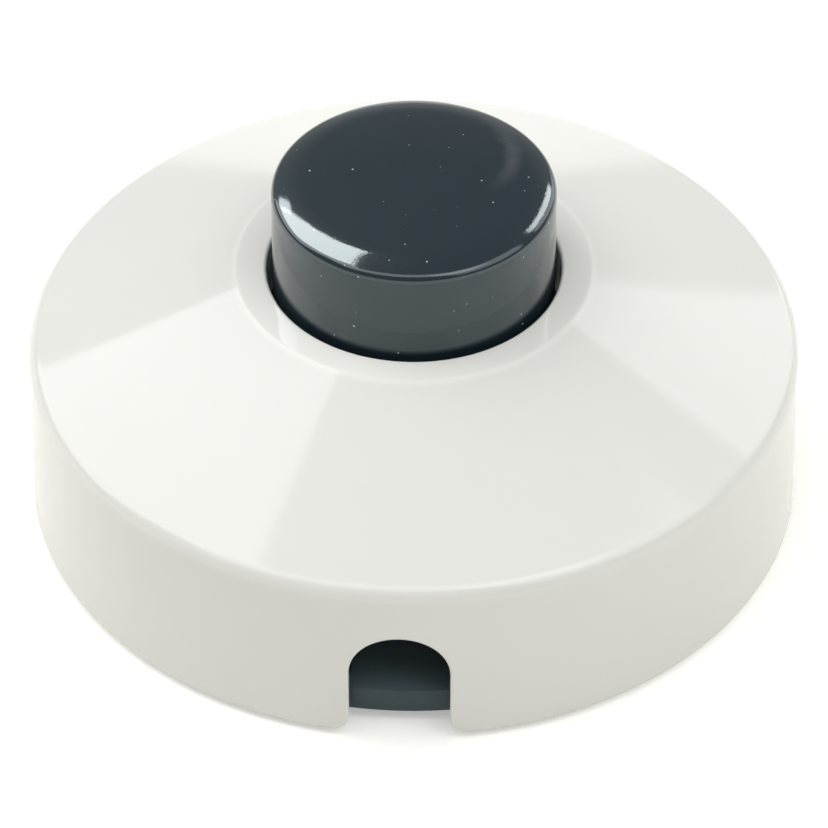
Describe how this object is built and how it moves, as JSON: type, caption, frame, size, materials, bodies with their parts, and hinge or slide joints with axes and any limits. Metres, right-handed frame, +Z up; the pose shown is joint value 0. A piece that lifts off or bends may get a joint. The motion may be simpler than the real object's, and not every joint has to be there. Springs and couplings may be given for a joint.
{
  "type": "foot switch",
  "caption": "Round in-line foot switch for a lamp cord: white domed cover, tall dark push button, two arched cord entries, and a ratchet contact mechanism inside.",
  "frame": {"origin": "on the floor, under the middle of the button", "axes": "+Z up along the button's axis; the cord entries face -Y (front) and +Y (rear); the cover screws lie along X"},
  "size_m": [0.072, 0.0716, 0.0364],
  "materials": {
    "cover_plastic": "glossy white, thermoset moulding",
    "button_plastic": "glossy near-black with a slight orange peel",
    "base_plastic": "satin dark moulding",
    "nylon": "natural nylon",
    "brass": "drawn brass",
    "spring_steel": "bright drawn wire",
    "screw_steel": "zinc plated",
    "foot_rubber": "matt black"
  },
  "bodies": {
    "case": {"cover": "cover_plastic", "base": "base_plastic", "cord_clamp_front": "base_plastic", "cord_clamp_rear": "base_plastic", "mechanism_housing": "nylon", "live_contact_in": "brass", "live_contact_out": "brass", "live_terminal_in": "brass", "live_terminal_out": "brass", "neutral_terminal": "brass", "earth_terminal": "brass", "rotor_axle": "spring_steel", "live_terminal_in_screw_1": "screw_steel", "live_terminal_out_screw_1": "screw_steel", "neutral_terminal_screw_1": "screw_steel", "neutral_terminal_screw_2": "screw_steel", "earth_terminal_screw_1": "screw_steel", "earth_terminal_screw_2": "screw_steel", "clamp_screw_front_left": "screw_steel", "clamp_screw_front_right": "screw_steel", "clamp_screw_rear_left": "screw_steel", "clamp_screw_rear_right": "screw_steel", "housing_screw_1": "screw_steel", "housing_screw_2": "screw_steel", "cover_screw_left": "screw_steel", "cover_screw_right": "screw_steel", "rubber_foot_1": "foot_rubber", "rubber_foot_2": "foot_rubber", "rubber_foot_3": "foot_rubber", "rubber_foot_4": "foot_rubber"},
    "button": {"push_button": "button_plastic", "plunger": "nylon", "return_spring": "spring_steel"},
    "rotor": {"rotor": "nylon", "contact_bridge": "brass", "contact_spring": "spring_steel"}
  },
  "joints": [
    {"name": "button_press", "type": "slide", "parent": "case", "child": "button", "axis": [0, 0, -1], "range_m": [0, 0.004], "stiffness_N_per_m": 600, "springref_m": -0.004, "deforming": ["return_spring"]},
    {"name": "rotor_turn", "type": "hinge", "parent": "case", "child": "rotor", "pos_m": [0, 0, 0.009], "axis": [0, 0, 1], "range_deg": [0, 45]}
  ],
  "couplings": [
    {"joint": "rotor_turn", "follows": "button_press", "rad_per_m": 196.34}
  ]
}
